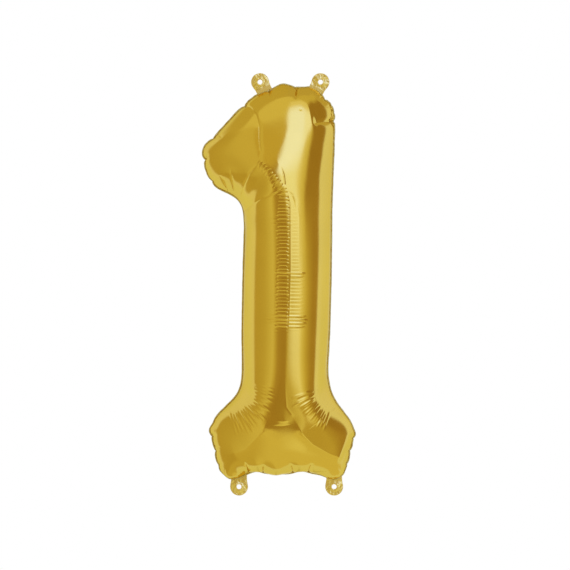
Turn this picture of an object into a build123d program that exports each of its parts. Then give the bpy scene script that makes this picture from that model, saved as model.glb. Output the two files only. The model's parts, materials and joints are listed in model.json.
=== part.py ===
"""Air-filled foil number balloon in the shape of a numeral one.

Two foil panels are heat-sealed together round their edge and blown up. Four tabs with punched
holes grow from the edge seal, and a flat self-sealing valve lies between the panels at the top.

Frame: +X to the viewer's right, +Z up, the front faces -Y. The seal lies in the plane y = 0.
The origin is under the middle of the overall box, level with the ends of the bottom tabs.
Real film is about 0.04 mm thick: FILM and SEAL_THICKNESS stand in for it.
"""

import os

from build123d import *

# Film and seal
FILM = 0.5  # wall of an inflated panel
SEAL_THICKNESS = 0.6  # both panels welded flat
SEAL_WIDTH = 2.0  # flat border outside the inflated part
HALF_SEAL = SEAL_THICKNESS / 2

# Hanging tabs
TAB_RADIUS = 8.0  # round end, centred on the hole
HOLE_RADIUS = 2.2
FOLD_GAP = 0.4  # bare film on each side of a tab's fold line
ROOT_INSET = 0.8  # how much narrower a tab is at its root, on each side
LUG_LENGTH = 3.5  # part of the seal that a tab grows from

# Each tab's hole centre (x, z), its lean to the left from straight up, and its hole-to-fold distance
TABS = {
    "tab_top_left": ((-15.7, 372.2), 26, 6.4),
    "tab_top_right": ((38.7, 372.2), -28, 5.9),
    "tab_bottom_left": ((-34.6, 8.0), 180, 6.9),
    "tab_bottom_right": ((51.0, 8.0), 180, 6.9),
}

# Self-sealing valve
VALVE_X = 14.0
VALVE_WIDTH = 16.0
VALVE_TOP = 370.3
VALVE_LENGTH = 85.0
VALVE_FILM = 0.25
VALVE_GAP = 0.04  # between the two valve films
SLOT_CLEARANCE = 0.2
SLOT_DEPTH = 8.0

BIG = 1000  # more than the size of the object

# Slices through the inflated numeral: height z, left edge x, right edge x, half depth y
SLICES = [
    (17.5, -44, 56, 1.6),
    (20, -49, 59.5, 12),
    (25, -52.5, 61.5, 20.5),
    (32, -54.5, 63, 27),
    (42, -56, 65.5, 32.5),
    (52, -58.5, 67.8, 36.5),
    (60, -59.5, 67.8, 38.5),
    (68, -57, 65, 40),
    (76, -50, 57.5, 40.7),
    (85, -40, 51, 40.7),
    (95, -32.5, 46.5, 40),
    (110, -30.5, 43.8, 38.5),
    (150, -31, 46, 38.7),
    (200, -30, 47.3, 38.8),
    (245, -28.5, 47.8, 39.5),
    (262, -30, 48, 40.5),
    (269, -36, 48.3, 41),
    (274.5, -47, 48.5, 41.5),
    (279, -57, 48.7, 41.8),
    (287, -61.5, 49, 41.5),
    (297, -65, 49.3, 39.8),
    (308, -67.8, 49.8, 37.8),
    (316, -65, 50, 35.5),
    (323, -56, 50.3, 33.8),
    (332, -47.5, 50.8, 31),
    (341, -39.5, 51.3, 27),
    (350, -31, 49.5, 22),
    (358, -22, 42, 16.5),
    (364, -12, 34.5, 10),
    (368.3, -3, 28, 1.6),
]


def panel_section(slice_data, hollow):
    """One slice of the front panel: half an ellipse in front of the seal, hollow if asked."""
    z, left, right, depth = slice_data
    with BuildSketch(Plane.XY.offset(z)) as section:
        with Locations(((left + right) / 2, 0)):
            Ellipse((right - left) / 2, depth)
            if hollow:
                Ellipse((right - left) / 2 - FILM, depth - FILM, mode=Mode.SUBTRACT)
        with Locations((0, -HALF_SEAL)):
            Rectangle(BIG, BIG, align=(Align.CENTER, Align.MIN), mode=Mode.SUBTRACT)
    return section.sketch


def outline(inset):
    """The corners of the inflated numeral's outline in the plane of the seal, moved in by inset."""
    right_side = [(right - inset, z) for z, left, right, depth in SLICES]
    left_side = [(left + inset, z) for z, left, right, depth in reversed(SLICES)]
    return right_side + left_side


def tab_plane(hole, lean):
    """A tab's own plane: origin at its hole, local x along its fold line, local y to its round end."""
    x, z = hole
    return Plane(Location((x, 0, z)) * Location((0, 0, 0), (0, -lean, 0)) * Plane.XZ.location)


os.makedirs("parts", exist_ok=True)

with BuildPart() as front_foil:
    loft([panel_section(slice_data, hollow=True) for slice_data in SLICES], ruled=True)
    extrude(panel_section(SLICES[0], hollow=False), amount=-FILM)
    extrude(panel_section(SLICES[-1], hollow=False), amount=FILM)
front_foil.part.label = "front_foil"
export_step(front_foil.part, "parts/front_foil.step")

with BuildPart() as back_foil:
    mirror(front_foil.part, about=Plane.XZ)
back_foil.part.label = "back_foil"
export_step(back_foil.part, "parts/back_foil.step")

with BuildPart() as edge_seal:
    with BuildSketch(Plane.XZ):
        with BuildLine():
            Polyline(*outline(0), close=True)
        make_face()
        offset(amount=SEAL_WIDTH)
    extrude(amount=HALF_SEAL, both=True)
    for hole, lean, reach in TABS.values():
        with BuildSketch(tab_plane(hole, lean)):
            with Locations((0, -reach - FOLD_GAP)):
                Rectangle(2 * (TAB_RADIUS - ROOT_INSET), LUG_LENGTH, align=(Align.CENTER, Align.MAX))
        extrude(amount=HALF_SEAL, both=True)
    with BuildSketch(Plane.XZ):
        with BuildLine():
            Polyline(*outline(FILM), close=True)
        make_face()
    extrude(amount=HALF_SEAL, both=True, mode=Mode.SUBTRACT)
    with Locations((VALVE_X, 0, VALVE_TOP)):
        Box(VALVE_WIDTH + 2 * SLOT_CLEARANCE, SEAL_THICKNESS, 2 * SLOT_DEPTH, mode=Mode.SUBTRACT)
edge_seal.part.label = "edge_seal"
export_step(edge_seal.part, "parts/edge_seal.step")

for name, (hole, lean, reach) in TABS.items():
    with BuildPart() as tab:
        with BuildSketch(tab_plane(hole, lean)):
            with BuildLine():
                Polyline(
                    (-TAB_RADIUS, 0),
                    (ROOT_INSET - TAB_RADIUS, FOLD_GAP - reach),
                    (TAB_RADIUS - ROOT_INSET, FOLD_GAP - reach),
                    (TAB_RADIUS, 0),
                )
                ThreePointArc((TAB_RADIUS, 0), (0, TAB_RADIUS), (-TAB_RADIUS, 0))
            make_face()
            Circle(HOLE_RADIUS, mode=Mode.SUBTRACT)
        extrude(amount=HALF_SEAL, both=True)
    tab.part.label = name
    export_step(tab.part, f"parts/{name}.step")

for name, side in (("valve_front_film", -1), ("valve_back_film", 1)):
    with BuildPart() as valve_film:
        with Locations((VALVE_X, side * (VALVE_GAP + VALVE_FILM) / 2, VALVE_TOP)):
            Box(VALVE_WIDTH, VALVE_FILM, VALVE_LENGTH, align=(Align.CENTER, Align.CENTER, Align.MAX))
    valve_film.part.label = name
    export_step(valve_film.part, f"parts/{name}.step")
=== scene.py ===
"""Looks of the foil numeral balloon: inflated panels, edge seal, holed tabs and valve films.

Lengths are in millimetres until a mesh is made. The front faces -Y, as in the CAD frame.
"""

import json
import math

import bpy
import numpy as np
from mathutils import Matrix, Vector, noise
from mathutils.geometry import delaunay_2d_cdt
from mathutils.kdtree import KDTree


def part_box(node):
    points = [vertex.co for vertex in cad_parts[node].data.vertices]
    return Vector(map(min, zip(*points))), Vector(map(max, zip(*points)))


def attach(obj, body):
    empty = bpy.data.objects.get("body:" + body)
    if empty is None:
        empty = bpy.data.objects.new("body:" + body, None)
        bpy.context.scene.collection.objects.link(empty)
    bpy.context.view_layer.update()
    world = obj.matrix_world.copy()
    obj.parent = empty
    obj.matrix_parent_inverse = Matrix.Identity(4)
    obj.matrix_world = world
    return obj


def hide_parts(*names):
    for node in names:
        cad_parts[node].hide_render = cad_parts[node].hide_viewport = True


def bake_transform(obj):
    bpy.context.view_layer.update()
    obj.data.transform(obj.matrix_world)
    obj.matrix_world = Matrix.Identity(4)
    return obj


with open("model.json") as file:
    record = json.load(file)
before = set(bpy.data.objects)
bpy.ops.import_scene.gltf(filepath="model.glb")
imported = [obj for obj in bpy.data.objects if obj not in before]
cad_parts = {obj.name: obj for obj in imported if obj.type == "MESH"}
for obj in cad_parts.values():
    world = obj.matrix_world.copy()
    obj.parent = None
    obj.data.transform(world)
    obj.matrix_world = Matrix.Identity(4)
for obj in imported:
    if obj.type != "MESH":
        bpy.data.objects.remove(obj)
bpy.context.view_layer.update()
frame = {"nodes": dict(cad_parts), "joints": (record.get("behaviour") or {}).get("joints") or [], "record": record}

MM = 0.001
rng = np.random.default_rng(7)

# ------------------------------------------------------------------ flat pattern and inflation

# Cut shape of one panel, flat: x, z, corner radius, clockwise from the top right
FLAT = [
    (59.5, 362, 20), (64.5, 341, 60), (70, 223, 300), (69.5, 140, 200), (69, 98, 25),
    (83.5, 51, 12), (70, 7, 8), (8, 2.5, 200), (-54, 6, 10), (-71.5, 51.5, 12),
    (-55, 97, 25), (-55.5, 178, 300), (-56, 262, 18), (-78, 287.5, 8), (-81, 324, 9),
    (-47, 358, 90), (-12, 379.5, 22), (10, 383, 40), (35, 379, 25),
]
EDGE = 3.6  # edge length of the simulated mesh
FRAMES = 40  # how long the simulation runs
SIM_SCALE = 0.01  # Blender units per mm in the simulation
SEAM_CLEARANCE = 0.58  # nearest that a point of the mesh starts to the seam, as a share of EDGE
FLANGE_SHIFT = 0.6  # how far the inflated part reaches past the CAD panel, over its wide flat border
EVEN_BAND = 26  # film this near the seam has its coarse puckers evened out
FOLLOW_BAND = 22  # film this near the seam follows it on to the CAD outline
WAVE_BAND = 7  # film this near the seam follows its notches and lobes


def rounded_outline(points, step):
    """Closed polyline round the points with arcs at the corners, sampled every step."""
    path = []
    for i, (x, z, r) in enumerate(points):
        here = np.array((x, z), float)
        before = np.array(points[i - 1][:2]) - here
        after = np.array(points[(i + 1) % len(points)][:2]) - here
        before, after = before / np.linalg.norm(before), after / np.linalg.norm(after)
        half = math.acos(np.clip(before @ after, -1, 1)) / 2
        middle = here + (before + after) / np.linalg.norm(before + after) * r / math.sin(half)
        start, end = (here + d * r / math.tan(half) - middle for d in (before, after))
        a0 = math.atan2(start[1], start[0])
        turn = (math.atan2(end[1], end[0]) - a0 + math.pi) % (2 * math.pi) - math.pi
        count = max(2, int(abs(turn) * r / (step / 3)))
        angles = a0 + turn * np.arange(count + 1) / count
        path.extend(middle + r * np.stack([np.cos(angles), np.sin(angles)], 1))
    return resample(np.array(path), step)


def marks_along(path):
    """How far along the path each of its points is."""
    return np.concatenate([[0], np.cumsum(np.linalg.norm(np.diff(path, axis=0), axis=1))])


def resample(path, step):
    """The closed path with evenly spaced points."""
    closed = np.vstack([path, path[:1]])
    along = marks_along(closed)
    count = int(round(along[-1] / step))
    at = np.arange(count) * along[-1] / count
    return np.stack([np.interp(at, along, closed[:, k]) for k in range(closed.shape[1])], 1)


def inside(points, outline):
    """Which points lie in the closed outline."""
    x, z = points.T
    result = np.zeros(len(points), bool)
    for (xa, za), (xb, zb) in zip(outline, np.roll(outline, 1, axis=0)):
        result ^= ((za > z) != (zb > z)) & (x < (xb - xa) * (z - za) / (zb - za + 1e-12) + xa)
    return result


def distance_to_path(points, path, closed=False):
    """Distance from each point to a polyline, and how far along it the nearest place is (0 to 1)."""
    best = np.full(len(points), 1e9)
    where = np.zeros(len(points))
    ends = np.roll(path, -1, axis=0) if closed else path[1:]
    lengths = [np.linalg.norm(b - a) for a, b in zip(path, ends)]
    total, done = sum(lengths), 0.0
    for a, b, length in zip(path, ends, lengths):
        t = np.clip(((points - a) @ (b - a)) / max(length**2, 1e-12), 0, 1)
        d = np.linalg.norm(points - a - t[:, None] * (b - a), axis=1)
        nearer = d < best
        best[nearer] = d[nearer]
        where[nearer] = (done + t[nearer] * length) / total
        done += length
    return best, where


def left_of(points, path, share):
    """True where a point lies to the left of the open path, at the given share along it."""
    marks = marks_along(path)
    step = np.clip(np.searchsorted(marks, share * marks[-1], side="right") - 1, 0, len(path) - 2)
    way = (path[1:] - path[:-1])[step]
    gap = points - path[step]
    return way[:, 0] * gap[:, 1] - way[:, 1] * gap[:, 0] > 0


def nearest_of(targets, places):
    """Number and distance of the target nearest to each place, both in the plane of the seal."""
    tree = KDTree(len(targets))
    for i, (x, z) in enumerate(targets):
        tree.insert((x, 0, z), i)
    tree.balance()
    found = [tree.find((x, 0, z)) for x, z in places]
    return np.array([f[1] for f in found]), np.array([f[2] for f in found])


def twice_area(path):
    """Twice the area in the closed path, negative if it runs clockwise."""
    x, z = path.T
    return np.sum(x * np.roll(z, -1) - np.roll(x, -1) * z)


def outward(path, reach=1):
    """Unit vectors out of the closed path, square to the line between the points reach before and after."""
    tangent = np.roll(path, -reach, 0) - np.roll(path, reach, 0)
    tangent /= np.linalg.norm(tangent, axis=1)[:, None]
    return np.stack([tangent[:, 1], -tangent[:, 0]], 1) * np.sign(twice_area(path))


def smooth_closed(path, rounds):
    """The closed path with its corners rounded off."""
    for _ in range(rounds):
        path = path / 2 + (np.roll(path, 1, 0) + np.roll(path, -1, 0)) / 4
    return path


def smooth_step(share):
    """0 to 1, with a soft start and end."""
    return share * share * (3 - 2 * share)


def fade_ends(share, first, last):
    """1 along a line, falling to 0 over the first and the last share of it."""
    return np.clip(share / first, 0, 1) * np.clip((1 - share) / last, 0, 1)


def two_panels(outline, edge):
    """Triangle mesh of two flat panels that share the outline's points, which come first."""
    count = len(outline)
    low, high = outline.min(0), outline.max(0)
    row = edge * math.sqrt(3) / 2
    lattice = np.array([
        (x + (edge / 2 if r % 2 else 0), low[1] + r * row)
        for r in range(int((high[1] - low[1]) / row) + 1)
        for x in np.arange(low[0], high[0], edge)
    ])
    lattice = lattice[inside(lattice, outline)]
    lattice = lattice[distance_to_path(lattice, outline, closed=True)[0] > edge * SEAM_CLEARANCE]
    points, _, faces, *_ = delaunay_2d_cdt(
        [Vector(p) for p in np.vstack([outline, lattice])],
        [(i, (i + 1) % count) for i in range(count)], [list(range(count))], 1, 1e-6)
    points, faces = np.array([tuple(p) for p in points]), np.array([tuple(f) for f in faces])
    a, b, c = (points[faces[:, k]] for k in range(3))
    clockwise = np.cross(b - a, c - a) < 0
    faces[clockwise] = faces[clockwise][:, ::-1]
    # The back panel shares the seam's points, which come first, and has its own for the rest
    shift = np.where(np.arange(len(points)) < count, 0, len(points) - count)
    back = (faces + shift[faces])[:, ::-1]
    flat = np.vstack([points, points[count:]])
    side = np.concatenate([np.zeros(count), -np.ones(len(points) - count), np.ones(len(points) - count)])
    return flat, side, np.vstack([faces, back]), len(faces)


def inflate(points, faces):
    """The closed bag after a pressure simulation, in mm."""
    mesh = bpy.data.meshes.new("bag")
    mesh.from_pydata((points * SIM_SCALE).tolist(), [], faces.tolist())
    bag = bpy.data.objects.new("bag", mesh)
    bpy.context.scene.collection.objects.link(bag)
    bag.shape_key_add(name="Basis")
    flat_key = bag.shape_key_add(name="flat", from_mix=False)
    rest = points * SIM_SCALE
    rest[:, 1] = 0
    flat_key.data.foreach_set("co", rest.astype(np.float32).ravel())
    flat_key.value = 0
    cloth = bag.modifiers.new("Cloth", "CLOTH")
    s = cloth.settings
    s.rest_shape_key = flat_key
    s.quality, s.mass, s.air_damping = 12, 0.1, 1
    s.tension_stiffness = s.compression_stiffness = s.shear_stiffness = 80
    s.tension_damping = s.compression_damping = s.shear_damping = 5
    s.bending_stiffness, s.bending_damping = 0.05, 0.5
    s.use_pressure, s.uniform_pressure_force = True, 20
    s.effector_weights.gravity = 0
    cloth.collision_settings.use_collision = False
    cloth.collision_settings.use_self_collision = False
    cloth.point_cache.frame_start, cloth.point_cache.frame_end = 1, FRAMES + 5
    for number in range(1, FRAMES + 1):
        bpy.context.scene.frame_set(number)
    blown = bag.evaluated_get(bpy.context.evaluated_depsgraph_get()).to_mesh()
    out = np.zeros(len(blown.vertices) * 3, np.float32)
    blown.vertices.foreach_get("co", out)
    bpy.data.objects.remove(bag)
    bpy.data.meshes.remove(mesh)
    bpy.context.scene.frame_set(1)
    return out.reshape(-1, 3).astype(float) / SIM_SCALE


def edges_of(faces):
    """Unique edges, and each face's three edge numbers."""
    pairs = np.sort(np.concatenate([faces[:, [0, 1]], faces[:, [1, 2]], faces[:, [2, 0]]]), 1)
    unique, number = np.unique(pairs, axis=0, return_inverse=True)
    return unique, number.reshape(3, -1).T


def sum_at(index, values, count):
    """Sum of rows of values at each index."""
    return np.stack([np.bincount(index, values[:, k], count) for k in range(values.shape[1])], 1)


def relax(points, faces, rounds, amount, depth, grip):
    """Smoothing, a share amount of the way to the neighbours' mean. Those at a like depth count most."""
    edges, _ = edges_of(faces)
    a, b = edges.T
    n = len(points)
    weight = (np.exp(-(((depth[a] - depth[b]) / grip) ** 2)) + 0.03)[:, None]
    total = sum_at(a, weight, n) + sum_at(b, weight, n)
    for _ in range(rounds):
        mean = (sum_at(a, weight * points[b], n) + sum_at(b, weight * points[a], n)) / total
        points = points + amount[:, None] * (mean - points)
    return points


def loop_subdivide(points, faces, seam, extra):
    """One round of Loop subdivision. seam is the sorted edges of the seam; extra is only interpolated."""
    n = len(points)
    edges, face_edges = edges_of(faces)
    edge_key = (1, n)
    on_seam = np.isin(edges @ edge_key, seam @ edge_key)
    opposite = np.zeros((len(edges), 3))
    for k in range(3):
        opposite += sum_at(face_edges[:, k], points[faces[:, (k + 2) % 3]], len(edges))
    a, b = edges.T
    middle = (points[a] + points[b]) / 2
    new = 0.75 * middle + opposite / 8
    count = np.bincount(edges.ravel(), minlength=n)[:, None]
    ring = sum_at(a, points[b], n) + sum_at(b, points[a], n)
    share = np.where(count == 3, 3 / 16, 3 / (8 * np.maximum(count, 1)))
    moved = points * (1 - count * share) + ring * share
    faces_new = np.concatenate([
        np.stack([faces[:, 0], face_edges[:, 0] + n, face_edges[:, 2] + n], 1),
        np.stack([faces[:, 1], face_edges[:, 1] + n, face_edges[:, 0] + n], 1),
        np.stack([faces[:, 2], face_edges[:, 2] + n, face_edges[:, 1] + n], 1),
        face_edges + n,
    ])
    split = np.nonzero(on_seam)[0]
    seam_new = np.concatenate([np.stack([a[split], split + n], 1), np.stack([b[split], split + n], 1)])
    extra_new = np.vstack([extra, (extra[a] + extra[b]) / 2])
    return np.vstack([moved, new]), faces_new, np.sort(seam_new, 1), extra_new


def split_in(points, faces, extra, chosen, front_faces):
    """Splits the chosen faces in four, and their neighbours to fit. New points follow the curvature."""
    n = len(points)
    normals = vertex_normals(points, faces)
    edges, face_edges = edges_of(faces)
    cut = np.zeros(len(edges), bool)
    cut[face_edges[chosen].ravel()] = True
    a, b = edges[cut].T
    e = points[b] - points[a]
    lift = (e * normals[a]).sum(1)[:, None] * normals[a] - (e * normals[b]).sum(1)[:, None] * normals[b]
    new = (points[a] + points[b]) / 2 - lift / 8
    points, extra = np.vstack([points, new]), np.vstack([extra, (extra[a] + extra[b]) / 2])
    number = np.full(len(edges), -1)
    number[cut] = n + np.arange(cut.sum())
    out, is_front = [], []
    mids = number[face_edges]
    split_count = (mids >= 0).sum(1)
    for k in range(3):
        (a, b, c), (p, q, r) = np.roll(faces, -k, 1).T, np.roll(mids, -k, 1).T
        one, two = (split_count == 1) & (p >= 0), (split_count == 2) & (r < 0)
        for mask, tri in ((one, (a, p, c)), (one, (p, b, c)),
                          (two, (p, b, q)), (two, (a, p, q)), (two, (a, q, c))):
            out.append(np.stack([t[mask] for t in tri], 1))
            is_front.append(front_faces[mask])
    whole, four = split_count == 0, split_count == 3
    out.append(faces[whole])
    is_front.append(front_faces[whole])
    (a, b, c), (p, q, r) = faces[four].T, mids[four].T
    for tri in ((a, p, r), (b, q, p), (c, r, q), (p, q, r)):
        out.append(np.stack(tri, 1))
        is_front.append(front_faces[four])
    return points, np.concatenate(out), extra, np.concatenate(is_front)


def vertex_normals(points, faces):
    """Unit normals at the points, with each face counted by its area."""
    a, b, c = (points[faces[:, k]] for k in range(3))
    normal = np.cross(b - a, c - a)
    total = sum(sum_at(faces[:, k], normal, len(points)) for k in range(3))
    return total / np.maximum(np.linalg.norm(total, axis=1), 1e-12)[:, None]


# ------------------------------------------------------------------ outline from the CAD

CAD_SEAM = 0.35  # the CAD panel's points this near the plane of the seal are its edge
CAD_ROW = 0.06  # points within this height of each other are in one row


def cad_outline():
    """The edge of the inflated part in the plane of the seal, read from the CAD panel, clockwise."""
    co = np.array([v.co for v in frame["nodes"]["front_foil"].data.vertices]) / MM
    rim = co[co[:, 1] > -CAD_SEAM]
    heights = sorted({round(z, 1) for z in rim[:, 2]})
    right, left = [], []
    for z in heights:
        xs = rim[np.abs(rim[:, 2] - z) < CAD_ROW][:, 0]
        right.append((xs.max(), z))
        left.append((xs.min(), z))
    return np.array(right[::-1] + left)


# Places where the seam is pulled in (+) or bulges (-): x, z, distance, half width, 1 if it is a sharp notch
SEAM_WAVES = [
    # bottom edge and widest points of the foot
    (-19, 18, 2.4, 8, 0), (22, 18, 2.6, 8, 0), (1, 17, 0.3, 7, 0),
    (-39.5, 15, -4.6, 9.5, 0), (50, 15, -4.6, 9, 0), (-68, 60, -1.8, 5, 0), (70, 56, -1.8, 5, 0),
    # flag
    (-72, 301, 2.2, 2.2, 1), (-60, 324, 1.6, 3.0, 1), (-60, 282, 1.4, 2.5, 1), (-31, 352, 1.8, 2.2, 1),
    # right shoulder and top edge
    (52, 337, 2.0, 2.2, 1), (16, 371, 1.0, 1.8, 1), (-9, 368, 1.2, 2.5, 1),
    (44, 358, 1.6, 2.6, 1), (47, 350, 0.7, 1.5, 1), (50, 344, 0.6, 1.5, 1),
    (4.5, 371, -2.2, 8, 0), (31, 367, -2.0, 8, 0),
    # sides of the foot
    (-62, 53, 1.3, 1.8, 1), (-59, 40, 1.6, 2.2, 1), (-55, 27, 0.8, 2.0, 1),
    (69, 52, 1.2, 1.8, 1), (66, 40, 1.4, 2.0, 1), (64, 28, 1.0, 2.0, 1),
]

# ------------------------------------------------------------------ creases and ribs

# Folded lines: points, depth (+ in, - out), half width, share of the line that fades in at each end
CREASES = [
    ([(-31, 352), (-24, 348), (-19, 341), (-16, 330), (-16, 318), (-15, 308), (-17, 300)],
     0.7, 1.6, 0.02, 0.2),
    ([(-34, 268), (-29, 280), (-25, 288), (-18, 296)], 0.9, 0.8, 0.1, 0.2),
    ([(-31, 255), (-16.3, 264.8), (-9, 267.7), (4.5, 273.4)], 0.7, 0.8, 0.1, 0.15),
    ([(-45, 273), (-48, 282), (-51, 288)], 1.0, 0.8, 0.1, 0.4),
    ([(-39.5, 272), (-40.5, 281), (-41, 293)], 1.0, 0.8, 0.1, 0.5),
    ([(3, 295), (5.9, 285.7), (6.8, 277)], 0.3, 0.8, 0.4, 0.1),
    ([(9, 272.7), (13.5, 268.8), (15.8, 263), (17, 254)], 0.25, 0.8, 0.2, 0.5),
    ([(55, 336.5), (47, 336), (40, 335.5)], 0.4, 1.0, 0.01, 0.6),
    ([(41, 361), (37, 354.5)], 0.5, 1.2, 0.05, 0.5),
    ([(17.5, 373), (17.2, 364), (16, 355)], 2.4, 0.9, 0.05, 0.4),
    ([(-9, 370), (-7.5, 362), (-7, 355)], 1.3, 0.9, 0.05, 0.5),
    ([(21, 347.3), (20.3, 344.5)], 0.25, 0.7, 0.3, 0.3),
    ([(-66, 303), (-61, 302)], 0.5, 1.2, 0.01, 0.8),
    ([(-55, 326), (-49, 321)], 0.4, 1.2, 0.01, 0.8),
    ([(-26, 19), (-27.5, 25), (-29, 32)], 1.4, 0.9, 0.1, 0.3),
    ([(-13, 17), (-13, 24), (-12.5, 30)], 1.6, 0.9, 0.02, 0.3),
    ([(14.5, 17), (13, 24), (11.5, 31)], 1.6, 0.9, 0.02, 0.3),
    ([(27, 18), (28.5, 24), (31, 31)], 1.6, 0.9, 0.02, 0.3),
    ([(-59, 45), (-50, 44)], 0.5, 1.2, 0.01, 0.7),
    ([(68, 40), (60, 40)], 0.5, 1.2, 0.01, 0.7),
    ([(-3, 69.5), (5, 69), (13, 70)], -0.2, 1.5, 0.3, 0.3),
    ([(-6, 65), (4, 64.6), (14, 66)], 0.14, 0.9, 0.3, 0.3),
    ([(9, 272), (11.6, 262), (11.8, 200), (10.2, 150)], -0.14, 0.9, 0.03, 0.1),
    ([(17, 263), (19.3, 250), (19.5, 205)], -0.07, 0.9, 0.2, 0.2),
    ([(14.7, 72.5), (8.2, 81.5), (7.3, 92), (7, 104)], -0.2, 1.0, 0.1, 0.6),
]

# Folds that are steep on one side: points, depth, width to the left and right of the line, fades at the ends
DENTS = [
    ([(31, 333.5), (37, 335), (46, 336), (54, 336.5)], 2.6, 10, 3.2, 0.25, 0.05),
    ([(14, 73), (22, 58), (30.8, 48.5), (45, 40), (59, 34)], -2.4, 14, 5, 0.3, 0.1),
    ([(-7.5, 74), (-12.8, 59), (-29, 44), (-49, 35)], -0.9, 9, 9, 0.2, 0.2),
]

# Soft bulges (+) and hollows (-): centre x, z, half widths, height
BULGES = [
    (-50, 290, 10, 6, 1.6), (-25, 269, 8, 9, 2.2), (-26, 250, 5, 10, 0.8),
    (-1.5, 23, 8, 7, 2.2), (-20, 29, 6, 5, 0.8), (20, 29, 7, 5, 0.8),
    (-46, 20, 8, 7, 1.6), (51, 20, 8, 7, 1.6),
]

# Fans of fine folds at the inner corners: centre, inner and outer radius, angles, number, height
FANS = [
    ((-55, 108), 33, 62, -10, -70, 16, 0.4),
    ((58, 103), 27, 51, -166, -114, 16, 0.42),
]
FAN_FOLD = 0.85  # half width of a fold
FAN_LEAN = 0.05  # degrees that a fold turns aside for each mm outward

# Bands of cross ribs: middle line with half width and height at each point, how far they taper at the edges
RIB_BANDS = [
    ([(-18, 300, 2.6, 0.22), (-9, 289.5, 3.8, 0.28), (-1.5, 279.5, 4.4, 0.28), (3.5, 274.3, 4.6, 0.22),
      (5, 268, 5, 0.21), (4.8, 200, 5.4, 0.21), (3.4, 146, 5.8, 0.21)], 1.7),
    ([(15.5, 264, 3, 0.02), (16, 205, 4.5, 0.035), (16.3, 198, 7, 0.06), (15.5, 148, 8, 0.06)], 3.0),
]
RIB_PITCH = 3.15  # distance from rib to rib
RIB_STEEP = 0.26  # share of a rib that faces up, the steeper side
# Single ribs across the stem: height z, how far it stands out, from and to x
TALL_RIBS = [
    (200.2, 0.42, -3, 25), (197.6, 0.2, 4, 24), (162.0, 0.22, -12, 26), (158.9, 0.38, -14, 27),
    (156.0, 0.3, -14, 26), (152.8, 0.18, -4, 25), (243, 0.1, -24, 14), (247, 0.08, -22, 14),
]
TALL_RIB_HALF = 0.7  # half width of a single rib
TALL_RIB_TILT = 0.03  # how far it falls for each mm to the right
TALL_RIB_MIDDLE = 10  # the x where it has its stated height
BACK_FOLDS = 0.7  # height of the back's folds, as a share of the front's
FINE_MARGIN = 0.6  # how far past a fold the finer mesh reaches


def polar(xz, centre):
    """Distance and angle in degrees of each point, seen from the centre."""
    x, z = (xz - centre).T
    return np.hypot(x, z), np.degrees(np.arctan2(z, x))


def line_folds(xz):
    """The creases and the one-sided dents."""
    rise = np.zeros(len(xz))
    for line, depth, width, first, last in CREASES:
        d, t = distance_to_path(xz, np.array(line, float))
        rise -= depth * fade_ends(t, first, last) * np.exp(-d / width)
    for line, depth, left_width, right_width, first, last in DENTS:
        line = np.array(line, float)
        d, t = distance_to_path(xz, line)
        width = np.where(left_of(xz, line, t), left_width, right_width)
        rise -= depth * smooth_step(fade_ends(t, first, last)) * np.exp(-d / width)
    return rise


def fan_folds(xz, draw):
    """The fans, each fold with its own drawn place, height and length."""
    rise = np.zeros(len(xz))
    for centre, r0, r1, a0, a1, number, height in FANS:
        r, angle = polar(xz, centre)
        lean = FAN_LEAN * np.sign(a1 - a0) * (r - r0)
        angles = np.linspace(a0, a1, number) + draw.uniform(-0.9, 0.9, number)
        tall = height * draw.uniform(0.35, 1.2, number)
        inner, outer = r0 + draw.uniform(-1, 4, number), r1 - draw.uniform(0, 9, number)
        for k in range(number):
            across = np.radians(angle - angles[k] - lean) * r
            span = np.clip((r - inner[k]) / 3, 0, 1) * np.clip((outer[k] - r) / 8, 0, 1)
            rise += tall[k] * span * np.exp(-((across / FAN_FOLD) ** 2))
    return rise


def cross_ribs(xz):
    """The bands of ribs and the single tall ones, each band a little uneven in pitch, width and height."""
    rise = np.zeros(len(xz))
    x, z = xz.T
    for band, edge in RIB_BANDS:
        band = np.array(band, float)
        line = band[:, :2]
        d, t = distance_to_path(xz, line)
        marks = marks_along(line)
        along = t * marks[-1]
        uneven = 1 + 0.16 * np.sin(along * 1.9) + 0.1 * np.sin(along * 0.9 + 1)
        half = np.interp(along, marks, band[:, 2]) * uneven
        height = np.interp(along, marks, band[:, 3])
        ends = np.clip(along / 3, 0, 1) * np.clip((marks[-1] - along) / 8, 0, 1)
        reach = np.clip((half - d) / edge, 0, 1)
        strength = 1 + 0.16 * np.sin(along * 0.37) + 0.2 * np.sin(along * 1.13 + 2)
        phase = 2 * np.pi * along / RIB_PITCH + 0.5 * np.sin(along * 0.23 + 1) + 0.35 * np.sin(along * 0.71)
        turn = phase / (2 * np.pi) % 1
        ridge = np.where(turn < RIB_STEEP, turn / RIB_STEEP, (1 - turn) / (1 - RIB_STEEP)) * 2 - 1
        rise += height * strength * ends * smooth_step(reach) * ridge
    for height, tall, left, right in TALL_RIBS:
        reach = np.clip((x - left) / 9, 0, 1) * np.clip((right - x) / 3, 0, 1)
        fall = TALL_RIB_TILT * (x - TALL_RIB_MIDDLE)
        rise += tall * reach * np.exp(-(((z + fall - height) / TALL_RIB_HALF) ** 2))
    return rise


def folds(xz, draw):
    """How far the film stands out of the smooth inflated shape at each point, in mm."""
    x, z = xz.T
    rise = line_folds(xz) + fan_folds(xz, draw)
    for cx, cz, wide, tall, height in BULGES:
        rise += height * np.exp(-(((x - cx) / wide) ** 2) - ((z - cz) / tall) ** 2)
    return rise + cross_ribs(xz)


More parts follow.
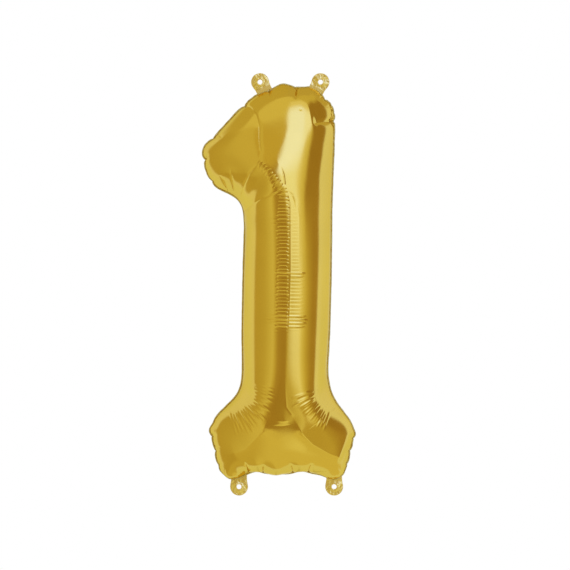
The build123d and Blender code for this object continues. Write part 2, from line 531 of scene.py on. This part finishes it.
def near_ribs(xz):
    """Where ribs need a finer mesh."""
    result = np.zeros(len(xz), bool)
    for band, *_ in RIB_BANDS:
        band = np.array(band, float)
        wide = np.interp(xz[:, 1], band[::-1, 1], band[::-1, 2])
        result |= distance_to_path(xz, band[:, :2])[0] < wide * 1.15 + FINE_MARGIN
    for height, _, left, right in TALL_RIBS:
        result |= (np.abs(xz[:, 1] - height) < 2) & (xz[:, 0] > left) & (xz[:, 0] < right)
    return result


def near_folds(xz):
    """Where creases and fans need a finer mesh."""
    result = np.zeros(len(xz), bool)
    for line, _, width, *_ in CREASES:
        result |= distance_to_path(xz, np.array(line, float))[0] < 2 * width + FINE_MARGIN
    for centre, r0, r1, a0, a1, *_ in FANS:
        r, angle = polar(xz, centre)
        low, high = sorted((a0, a1))
        result |= (r > r0 - 1) & (r < r1) & (angle > low - 3) & (angle < high + 3)
    return result


def settle_on_cad(points, flat, outline, depth):
    """The points with the seam on the CAD outline, and the film beside it moved along."""
    count = len(outline)
    target = smooth_closed(resample(cad_outline(), 1.0), 12)
    target = target + FLANGE_SHIFT * outward(target)
    seam = smooth_closed(points[:count][:, [0, 2]], 3)
    place = smooth_closed(target[nearest_of(target, seam)[0]], 2)
    move = np.column_stack([place[:, 0], np.zeros(count), place[:, 1]]) - points[:count]
    gap = np.linalg.norm(flat[:, None] - outline[None], axis=2)
    weight = 1 / (gap**2 + 4) ** 2
    spread = (weight @ move) / weight.sum(1)[:, None]
    return points + spread * np.exp(-((depth / FOLLOW_BAND) ** 2))[:, None]


def build_panels():
    """The inflated bag: its points, faces and seam edges, each point's place in the flat cut, and which
    faces are in front."""
    outline = rounded_outline(FLAT, EDGE)
    flat, side, faces, panel_faces = two_panels(outline, EDGE)
    count = len(outline)
    depth, _ = distance_to_path(flat, outline, closed=True)
    pillow = side * (0.3 + 0.4 * np.sqrt(np.minimum(depth, 30)))  # the panels start a little apart
    pillow += rng.normal(0, 0.02, len(flat))
    points = inflate(np.column_stack([flat[:, 0], pillow, flat[:, 1]]), faces)

    near_seam = np.clip(1 - depth / EVEN_BAND, 0, 1)
    points = relax(points, faces, 30, 0.12 + 0.5 * near_seam, depth, EDGE * 0.45)
    points = settle_on_cad(points, flat, outline, depth)
    amount = np.where(np.arange(len(points)) < count, 0, 0.3 * near_seam + 0.05)
    points = relax(points, faces, 4, amount, depth, EDGE)

    ring = np.arange(count)
    seam_edges = np.sort(np.stack([ring, (ring + 1) % count], 1), 1)
    front_faces = np.arange(len(faces)) < panel_faces
    for _ in range(2):
        points, faces, seam_edges, flat = loop_subdivide(points, faces, seam_edges, flat)
        front_faces = np.tile(front_faces, 4)
    return points, faces, seam_edges, flat, front_faces


def chain(edges):
    """The closed chain of points that the edges make."""
    after = {}
    for a, b in edges.tolist():
        after.setdefault(a, []).append(b)
        after.setdefault(b, []).append(a)
    order = [int(edges[0, 0]), int(edges[0, 1])]
    while True:
        step = [p for p in after[order[-1]] if p != order[-2]][0]
        if step == order[0]:
            return np.array(order)
        order.append(step)


def wave_seam(points, order, extra):
    """Pulls the seam and the film beside it into lobes between notches. Also gives each point's distance
    from the seam in the flat cut, and the seam's inward directions."""
    seam = points[order][:, [0, 2]]
    inward = -outward(seam, 2)
    along = marks_along(seam)
    total = along[-1] + np.linalg.norm(seam[0] - seam[-1])
    push = np.zeros(len(seam))
    for x, z, far, wide, sharp in SEAM_WAVES:
        at = along[np.argmin(np.hypot(seam[:, 0] - x, seam[:, 1] - z))]
        d = np.abs((along - at + total / 2) % total - total / 2) / wide
        push += far * (np.exp(-d) if sharp else np.exp(-(d**2)))
    nearest, depth = nearest_of(extra[order], extra)
    points[:, [0, 2]] += (push[nearest] * np.exp(-((depth / WAVE_BAND) ** 2)))[:, None] * inward[nearest]
    return points, depth, inward


def make_mesh(name, points, faces):
    """A smooth-shaded mesh object from points in mm. Points that no face uses are dropped."""
    used = np.unique(faces)
    renumber = np.full(len(points), -1)
    renumber[used] = np.arange(len(used))
    mesh = bpy.data.meshes.new(name)
    mesh.from_pydata((points[used] * MM).tolist(), [], renumber[faces].tolist())
    mesh.polygons.foreach_set("use_smooth", np.ones(len(faces), bool))
    mesh.update()
    piece = bpy.data.objects.new(name, mesh)
    bpy.context.scene.collection.objects.link(piece)
    return piece


points, faces, seam_edges, extra, front_faces = build_panels()
order = chain(seam_edges)
points, depth, inward = wave_seam(points, order, extra)
extra = np.column_stack([extra, depth])
for finest in (False, True):  # a finer mesh for ribs, creases and fans, the finest for ribs in front
    centres = points[faces].mean(1)[:, [0, 2]]
    chosen = near_ribs(centres) & front_faces if finest else near_ribs(centres) | near_folds(centres)
    points, faces, extra, front_faces = split_in(points, faces, extra, chosen, front_faces)
depth = extra[:, 2]
normals = vertex_normals(points, faces)
keep_seam = np.clip(depth / 2, 0, 1)  # no fold moves the seam
is_front = np.zeros(len(points), bool)
is_front[np.unique(faces[front_faces])] = True
rise = np.where(is_front, folds(points[:, [0, 2]], np.random.default_rng(3)),
                BACK_FOLDS * folds(points[:, [0, 2]], np.random.default_rng(4)))
points += normals * (rise * keep_seam)[:, None]

front = make_mesh("film_front", points, faces[front_faces])
back = make_mesh("film_back", points, faces[~front_faces])

# ------------------------------------------------------------------ edge seal

RIM_WIDTH = 1.15  # flat border seen outside the inflated part
RIM_HIDDEN = 0.4  # part of the border inside the bag
RIM_HALF = 0.14  # half of its thickness
RIM_FLUTTER, RIM_SWAY = 0.55, 0.35  # height of its short and its long waves
# At the valve the border is flat: the middle's x, the reach to each side, and the z that it is above
VALVE_MIDDLE, VALVE_REACH, VALVE_LOW = 14, 11, 360


def crumple(u, v, seed):
    """Ridged noise of crumpled film, about -1 to 1, for places u, v in mm."""
    total = 0.0
    for size, share in ((6.5, 0.55), (3.1, 0.3), (1.5, 0.15)):
        total += share * (1 - 4 * abs(noise.noise((u / size + seed, v / size, seed * 3.7))))
    return total


def build_rim():
    """The welded border: a thin closed strip round the seam that flutters a little."""
    seam = points[order]
    count = len(seam)
    flutter = np.array([noise.noise((p[0] / 2.6, p[2] / 2.6, 5.0)) for p in seam])
    slow = np.array([noise.noise((p[0] / 9, p[2] / 9, 1.0)) for p in seam])
    calm = 1 - np.exp(-(((seam[:, 0] - VALVE_MIDDLE) / VALVE_REACH) ** 4)) * (seam[:, 2] > VALVE_LOW)
    width = RIM_WIDTH * (1 + 0.18 * slow)
    rows = []
    profile = [(-RIM_HIDDEN, -RIM_HALF), (width * 0.5, -RIM_HALF), (width, 0), (width * 0.5, RIM_HALF),
               (-RIM_HIDDEN, RIM_HALF)]
    for out, y in profile:
        row = seam.copy()
        row[:, [0, 2]] -= inward * np.broadcast_to(out, count)[:, None]
        lift = np.clip(np.broadcast_to(out, count) / RIM_WIDTH, 0, 1)
        row[:, 1] += y + lift * calm * (RIM_FLUTTER * flutter + RIM_SWAY * slow)
        rows.append(row)
    i = np.arange(count)
    j = (i + 1) % count
    quads = []
    for k in range(len(profile)):
        here, there = k * count, (k + 1) % len(profile) * count
        quads.append(np.stack([here + i, here + j, there + j, there + i], 1))
    return make_mesh("seal_border", np.vstack(rows), np.vstack(quads))


rim = build_rim()

# ------------------------------------------------------------------ holed tabs

TAB_RADIUS, TAB_HOLE, TAB_NECK = 8.0, 2.2, 7.1  # round end, punched hole, half width at the root
TAB_ROOT = 3.6  # how far the tab runs on below its fold, into the border
TAB_HALF = 0.09  # half of its thickness
TAB_STEP = 0.5  # spacing of its mesh
HOLE_SIDES = 32
TAB_CRUMPLE = 0.62  # height of the crumples
TAB_ROOT_CRUMPLE = 0.02  # and at the root
TAB_CURL = 0.5  # how far the end curls back at its rim
TAB_LIP = 0.45  # how far the film stands forward in a ring round the hole
BEND_BELOW, BEND_ABOVE = 1.2, 1.4  # the stretch on each side of the fold line whose ends build_tab gives back; the tab itself is not bent


def tab_outline(reach):
    """A flat tab's outline round its hole, anticlockwise. The fold is this far below the hole."""
    rise = np.arange(-reach - TAB_ROOT, 0, TAB_STEP)
    half = TAB_NECK + (TAB_RADIUS - TAB_NECK) * smooth_step(np.clip((rise + reach) / reach, 0, 1))
    arc = np.linspace(0, math.pi, 52)
    foot = np.linspace(-TAB_NECK, TAB_NECK, 28)[1:-1]
    return np.vstack([
        np.stack([half, rise], 1), TAB_RADIUS * np.stack([np.cos(arc), np.sin(arc)], 1),
        np.stack([-half, rise], 1)[::-1], np.stack([foot, np.full(len(foot), rise[0])], 1),
    ])


def holed_sheet(outline):
    """Points and triangles of the flat shape in the outline, without the hole, all anticlockwise."""
    around = np.linspace(0, 2 * math.pi, HOLE_SIDES + 1)[:-1]
    ring = TAB_HOLE * np.stack([np.cos(around), np.sin(around)], 1)
    grid = np.array([(u, v) for v in np.arange(outline[:, 1].min(), TAB_RADIUS, TAB_STEP)
                     for u in np.arange(-TAB_RADIUS, TAB_RADIUS, TAB_STEP)]) + 0.11  # off the outline's lines
    grid = grid[inside(grid, outline) & (np.hypot(*grid.T) > TAB_HOLE + TAB_STEP / 2)]
    grid = grid[distance_to_path(grid, outline, closed=True)[0] > TAB_STEP / 2]
    n, m = len(outline), len(ring)
    edges = [(i, (i + 1) % n) for i in range(n)] + [(n + i, n + (i + 1) % m) for i in range(m)]
    flat, _, tris, *_ = delaunay_2d_cdt(
        [Vector(p) for p in np.vstack([outline, ring, grid])], edges, [list(range(n))], 1, 1e-6)
    flat, tris = np.array([tuple(p) for p in flat]), np.array([tuple(t) for t in tris])
    tris = tris[np.hypot(*flat[tris].mean(1).T) > TAB_HOLE * 0.99]
    a, b, c = (flat[tris[:, k]] for k in range(3))
    turned = np.cross(b - a, c - a) < 0
    tris[turned] = tris[turned][:, ::-1]
    return flat, tris


def build_tab(name, seed):
    """A crumpled film tab with its punched hole, from its hole's mount and its fold's joint.

    Gives the piece, and the places where its bend starts and ends.
    """
    joint = next(j for j in frame["joints"] if j["child"] == name)
    mount = next(m for m in frame["record"]["mounts"] if m["name"] == name.replace("tab", "hang_hole"))
    hole, fold = np.array(mount["pos_m"]) / MM, np.array(joint["pos_m"]) / MM
    across = np.array(joint["axis"])
    reach = np.linalg.norm(hole - fold)
    away = (hole - fold) / reach
    flat, tris = holed_sheet(tab_outline(reach))
    u, v = flat.T
    r = np.hypot(u, v)
    free = np.clip((v + reach) / 3, 0, 1)  # the root lies flat in the border
    wave = np.array([crumple(a, b, seed) for a, b in flat])
    lip = np.exp(-((r - TAB_HOLE - 0.7) ** 2))
    height = free * (TAB_CRUMPLE * wave + TAB_CURL * (r / TAB_RADIUS) ** 3 - TAB_LIP * lip)
    height += TAB_ROOT_CRUMPLE * (1 - free) * wave
    place = hole + u[:, None] * across + v[:, None] * away
    near, far = place.copy(), place.copy()
    near[:, 1] += height - TAB_HALF
    far[:, 1] += height + TAB_HALF
    count = len(flat)
    pairs = np.concatenate([tris[:, [0, 1]], tris[:, [1, 2]], tris[:, [2, 0]]])
    keys = {tuple(p) for p in pairs.tolist()}
    walls = np.array([(q, p, p + count, q + count) for p, q in keys if (q, p) not in keys])
    sides = np.concatenate([walls[:, [0, 1, 2]], walls[:, [0, 2, 3]]])
    if np.cross(across, away)[1] > 0:
        tris, sides = tris[:, ::-1], sides[:, ::-1]
    faces = np.concatenate([tris, tris[:, ::-1] + count, sides])
    piece = make_mesh(name + "_film", np.vstack([near, far]), faces)
    fold_m, away_m = Vector(fold * MM), Vector(away * MM)
    return piece, fold_m - BEND_BELOW * away_m, fold_m + BEND_ABOVE * away_m


tabs = {name: build_tab(name, seed) for name, seed in
        (("tab_top_left", 1.3), ("tab_top_right", 2.6), ("tab_bottom_left", 4.1), ("tab_bottom_right", 5.9))}

# ------------------------------------------------------------------ valve films

VALVE_FILM_HALF = 0.03  # half of one film's thickness
VALVE_COLUMNS, VALVE_ROWS = 17, 70  # points across and down each film
VALVE_HELD, VALVE_EASE = 4, 40  # the film is held flat this far down, and loose after this much more


def build_valve(name, side):
    """One flat film of the valve, inside the bag: held flat in the seal and waving a little below it."""
    low, high = (np.array(corner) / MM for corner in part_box(name))
    mouth = points[order]
    near = (mouth[:, 0] > low[0]) & (mouth[:, 0] < high[0]) & (mouth[:, 2] > low[2])
    top = mouth[near, 2].min() + 0.6 * RIM_WIDTH
    across = np.linspace(low[0], high[0], VALVE_COLUMNS)
    u, v = np.meshgrid(across, np.linspace(0, top - low[2], VALVE_ROWS))
    loose = np.clip((v - VALVE_HELD) / VALVE_EASE, 0, 1)
    bow = side * (0.05 + 0.8 * loose * (0.6 + 0.4 * np.cos((u - across.mean()) / 5)))
    bow = bow + loose * (0.7 * np.sin(v / 13) + 0.25 * np.sin(u / 3.1 + v / 8))
    sheets = [np.stack([u, bow + t, top - v], 2).reshape(-1, 3) for t in (-VALVE_FILM_HALF, VALVE_FILM_HALF)]
    rows, cols = u.shape
    i = (np.arange(rows - 1)[:, None] * cols + np.arange(cols - 1)).ravel()
    quads = np.stack([i, i + cols, i + cols + 1, i + 1], 1)
    number = np.arange(rows * cols).reshape(rows, cols)
    border = np.concatenate([number[0], number[1:, -1], number[-1, -2::-1], number[-2:0:-1, 0]])
    after, total = np.roll(border, -1), rows * cols
    walls = np.stack([border, after, after + total, border + total], 1)
    return make_mesh(name + "_sheet", np.vstack(sheets), np.vstack([quads, quads[:, ::-1] + total, walls]))


valve = [build_valve("valve_front_film", -1), build_valve("valve_back_film", 1)]

# ------------------------------------------------------------------ materials


def new_material(name):
    """A material and its shader."""
    material = bpy.data.materials.new(name)
    material.use_nodes = True
    return material, material.node_tree.nodes["Principled BSDF"]


def noise_of(material, scale, detail):
    """Value of a noise texture that is fixed to the object."""
    nodes, links = material.node_tree.nodes, material.node_tree.links
    place, cloud = nodes.new("ShaderNodeTexCoord"), nodes.new("ShaderNodeTexNoise")
    cloud.inputs["Scale"].default_value, cloud.inputs["Detail"].default_value = scale, detail
    links.new(place.outputs["Object"], cloud.inputs["Vector"])
    return cloud.outputs["Fac"]


def vary_roughness(material, value, low, high):
    nodes, links = material.node_tree.nodes, material.node_tree.links
    rough = nodes.new("ShaderNodeMapRange")
    rough.inputs["To Min"].default_value, rough.inputs["To Max"].default_value = low, high
    links.new(value, rough.inputs["Value"])
    links.new(rough.outputs["Result"], nodes["Principled BSDF"].inputs["Roughness"])


def add_bump(material, value, strength, height):
    nodes, links = material.node_tree.nodes, material.node_tree.links
    bump = nodes.new("ShaderNodeBump")
    bump.inputs["Strength"].default_value, bump.inputs["Distance"].default_value = strength, height
    links.new(value, bump.inputs["Height"])
    links.new(bump.outputs["Normal"], nodes["Principled BSDF"].inputs["Normal"])


def foil(name, rough, tint, coat, crinkle):
    """Metal-coated film: a slightly uneven gold mirror with fine crinkles of the given height in metres."""
    material, shader = new_material(name)
    nodes, links = material.node_tree.nodes, material.node_tree.links
    shader.inputs["Metallic"].default_value = 1
    shader.inputs["Specular Tint"].default_value = (0.92, 0.80, 0.50, 1)
    shader.inputs["Coat Weight"].default_value = coat
    shader.inputs["Coat Roughness"].default_value = 0.04
    cloud = noise_of(material, 30, 4)
    shade = nodes.new("ShaderNodeValToRGB")
    for element, position, share in zip(shade.color_ramp.elements, (0.35, 0.65), (0.96, 1)):
        element.position, element.color = position, (*[c * share for c in tint], 1)
    links.new(cloud, shade.inputs["Fac"])
    links.new(shade.outputs["Color"], shader.inputs["Base Color"])
    vary_roughness(material, cloud, rough * 0.8, rough * 1.3)
    add_bump(material, noise_of(material, 260, 3), 1.0, crinkle)
    return material


def clear_film(name):
    """Clear polyethylene, hazy in places."""
    material, shader = new_material(name)
    shader.inputs["Base Color"].default_value = (0.86, 0.88, 0.9, 1)
    shader.inputs["Transmission Weight"].default_value = 0.85
    shader.inputs["IOR"].default_value = 1.5
    haze = noise_of(material, 220, 2)
    vary_roughness(material, haze, 0.12, 0.35)
    add_bump(material, haze, 0.3, 0.0002)
    return material


gold = foil("gold_foil", 0.12, (0.78, 0.53, 0.085), 0.06, 0.00002)
sealed = foil("sealed_foil", 0.42, (0.71, 0.59, 0.19), 0.06, 0.0002)
# The tabs are the body's gold film. Their tint is made lighter than the body's to paint the brighter light that
# falls on them, so part of it is painted light.
tab_foil_painted_light = foil("tab_foil_painted_light", 0.34, (0.90, 0.70, 0.20), 0.2, 0.0001)
clear = clear_film("valve_film")


def finish_piece(piece, material, nodes, body="root"):
    """Gives a piece its material in a slot, hides the CAD nodes that it replaces, and parents it to the body that
    it rides on when one is given.
    """
    piece.data.materials.append(material)
    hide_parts(*nodes)
    if body:
        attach(piece, body)


finish_piece(front, gold, ["front_foil"])
finish_piece(back, gold, ["back_foil"])
finish_piece(rim, sealed, ["edge_seal"])
for piece, node_name in zip(valve, ("valve_front_film", "valve_back_film")):
    finish_piece(piece, clear, [node_name])
for name, (piece, start, end) in tabs.items():
    finish_piece(piece, tab_foil_painted_light, [name], body=None)
    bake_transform(piece)

# ------------------------------------------------------------------ camera, floor and light

scene = bpy.context.scene
scene.view_settings.view_transform = "Standard"

AIM = Vector((6.75, 0, 189.5)) * MM
DISTANCE = 2.0  # metres from the camera to the seal's plane
WIDTH = 0.513  # metres that the view is wide there
camera_data = bpy.data.cameras.new("camera")
camera = bpy.data.objects.new("camera", camera_data)
scene.collection.objects.link(camera)
camera_data.lens = camera_data.sensor_width * DISTANCE / WIDTH
camera.location = AIM - Vector((0, DISTANCE, 0))
camera.rotation_euler = (math.pi / 2, 0, 0)
scene.camera = camera

FLOOR_RADIUS, FLOOR_HEIGHT, FLOOR_SIDES = 0.65, -0.35, 96  # in metres
floor_mesh = bpy.data.meshes.new("floor")
around = np.linspace(0, 2 * math.pi, FLOOR_SIDES + 1)[:-1]
corners = [(FLOOR_RADIUS * math.cos(a), FLOOR_RADIUS * math.sin(a), FLOOR_HEIGHT) for a in around]
floor_mesh.from_pydata(corners, [], [list(range(FLOOR_SIDES))])
floor = bpy.data.objects.new("floor", floor_mesh)
scene.collection.objects.link(floor)
pale, pale_shader = new_material("pale_floor")
pale_shader.inputs["Base Color"].default_value = (0.85, 0.85, 0.84, 1)
pale_shader.inputs["Roughness"].default_value = 0.7
floor_mesh.materials.append(pale)
floor.visible_glossy = False

world = bpy.data.worlds.new("studio")
scene.world = world
world.use_nodes = True
nodes, links = world.node_tree.nodes, world.node_tree.links


def node(kind):
    return nodes.new("ShaderNode" + kind)


def math_node(operation, a, b=0.0):
    """Result of the operation on numbers or other nodes' outputs."""
    made = node("Math")
    made.operation = operation
    for k, value in enumerate((a, b)):
        if isinstance(value, (int, float)):
            made.inputs[k].default_value = value
        else:
            links.new(value, made.inputs[k])
    return made.outputs[0]


def ramp(value, stops):
    """Colour of the value, from stops of position and colour."""
    made = node("ValToRGB")
    elements = made.color_ramp.elements
    while len(elements) > 1:
        elements.remove(elements[0])
    for k, (position, colour) in enumerate(stops):
        e = elements[0] if k == 0 else elements.new(position)
        e.position, e.color = position, (*colour, 1)
    links.new(value, made.inputs[0])
    return made.outputs[0]


# The direction of a ray as two values, 0 to 1: turn goes once round Z, elevation from straight down to up
where = node("TexCoord").outputs["Generated"]
split = node("SeparateXYZ")
links.new(where, split.inputs[0])
azimuth = math_node("ARCTAN2", split.outputs["X"], math_node("MULTIPLY", split.outputs["Y"], -1))
turn = math_node("ADD", math_node("DIVIDE", azimuth, 2 * math.pi), 0.5)
elevation = math_node("ADD", math_node("DIVIDE", math_node("ARCSINE", split.outputs["Z"]), math.pi), 0.5)

# The studio round the foil, as azimuth (0 in front, right positive) and brightness tinted by the room
ROOM = [
    (-180, (0.50, 0.50, 0.30)), (-165, (0.66, 0.66, 0.42)), (-150, (0.80, 0.88, 0.70)),
    (-120, (0.86, 0.92, 1.0)), (-99, (0.86, 0.92, 1.0)), (-93, (0.58, 0.50, 0.21)),
    (-75, (0.60, 0.53, 0.23)), (-62, (0.63, 0.57, 0.26)), (-50, (0.70, 0.67, 0.36)),
    (-38, (0.77, 0.76, 0.48)), (-30, (0.66, 0.60, 0.27)), (-23, (0.49, 0.38, 0.15)),
    (-12, (0.43, 0.31, 0.11)), (-2, (0.44, 0.33, 0.12)), (6, (0.60, 0.54, 0.26)),
    (20, (0.75, 0.75, 0.50)), (38, (0.92, 0.98, 0.92)), (48, (0.79, 0.79, 0.52)),
    (57, (0.66, 0.60, 0.27)), (66, (0.54, 0.45, 0.18)), (76, (0.46, 0.34, 0.13)),
    (89, (0.45, 0.33, 0.12)), (94, (0.89, 1.0, 1.25)), (130, (0.88, 0.96, 1.2)),
    (150, (0.82, 0.90, 0.80)), (166, (0.66, 0.68, 0.46)), (180, (0.50, 0.50, 0.30)),
]
# Panels of light and dark: azimuth from and to, elevation from and to, softness of both edges, colour.
# A limit past 180 or 90 degrees leaves no edge there
PANELS = [
    (-50, -34, 12, 44, 12, 10, (0.71, 0.67, 0.35)),
    (-28, 4, 8, 22, 8, 12, (0.47, 0.36, 0.14)),
    (-28, 6, 34, 39, 6, 5, (0.66, 0.58, 0.24)),
    (-68, 60, 43, 120, 8, 4, (0.80, 0.79, 0.50)),
    (-200, -66, 44, 120, 8, 8, (0.64, 0.58, 0.27)),
    (60, 200, 52, 120, 6, 8, (0.70, 0.66, 0.34)),
    (97, 220, 36, 120, 6, 10, (0.62, 0.56, 0.30)),
    (57, 90, 8, 48, 6, 8, (0.40, 0.28, 0.10)),
    (20, 36, 3, 20, 9, 12, (0.98, 1.08, 1.4)),
    (12, 52, 34, 60, 6, 8, (0.93, 0.98, 1.0)),
    (13, 34, 8, 34, 6, 14, (1.06, 1.28, 2.2)),
    (11, 37, 27, 44, 5, 9, (1.14, 1.48, 4.0)),
    (36, 48, 30, 42, 4, 5, (1.10, 1.35, 2.8)),
    (-34, 100, -120, -38, 12, 5, (0.79, 0.77, 0.44)),
    (8, 38, -46, -36, 12, 5, (0.90, 0.94, 0.72)),
    (29, 64, -32, -13, 7, 5, (0.60, 0.52, 0.22)),
    (-80, -28, -120, -40, 14, 8, (0.67, 0.61, 0.28)),
    (-84, -60, -50, -30, 8, 8, (0.58, 0.50, 0.20)),
    (-220, -112, -120, -6, 10, 12, (0.85, 0.95, 0.88)),
    (112, 220, -120, -6, 10, 12, (0.85, 0.95, 0.88)),
]
sky = ramp(turn, [(a / 360 + 0.5, c) for a, c in ROOM])


def window(value, low, high, soft, whole):
    """1 between low and high degrees, fading over soft outside them. The value is a share of the whole."""
    stops = [(low - soft, 0), (low, 1), (high, 1), (high + soft, 0)]
    return ramp(value, [(min(max(d / whole + 0.5, 0), 1), (c, c, c)) for d, c in stops])


for a0, a1, e0, e1, soft_a, soft_e, colour in PANELS:
    panel = node("MixRGB")
    share = math_node("MULTIPLY", window(turn, a0, a1, soft_a, 360), window(elevation, e0, e1, soft_e, 180))
    links.new(share, panel.inputs[0])
    links.new(sky, panel.inputs[1])
    panel.inputs[2].default_value = (*colour, 1)
    sky = panel.outputs[0]

# Only reflections see the studio: the background and the light on matt surfaces are plain white
rays = node("LightPath")
seen = node("MixRGB")
links.new(rays.outputs["Is Glossy Ray"], seen.inputs[0])
seen.inputs[1].default_value = (1, 1, 1, 1)
links.new(sky, seen.inputs[2])
links.new(seen.outputs[0], nodes["Background"].inputs[0])
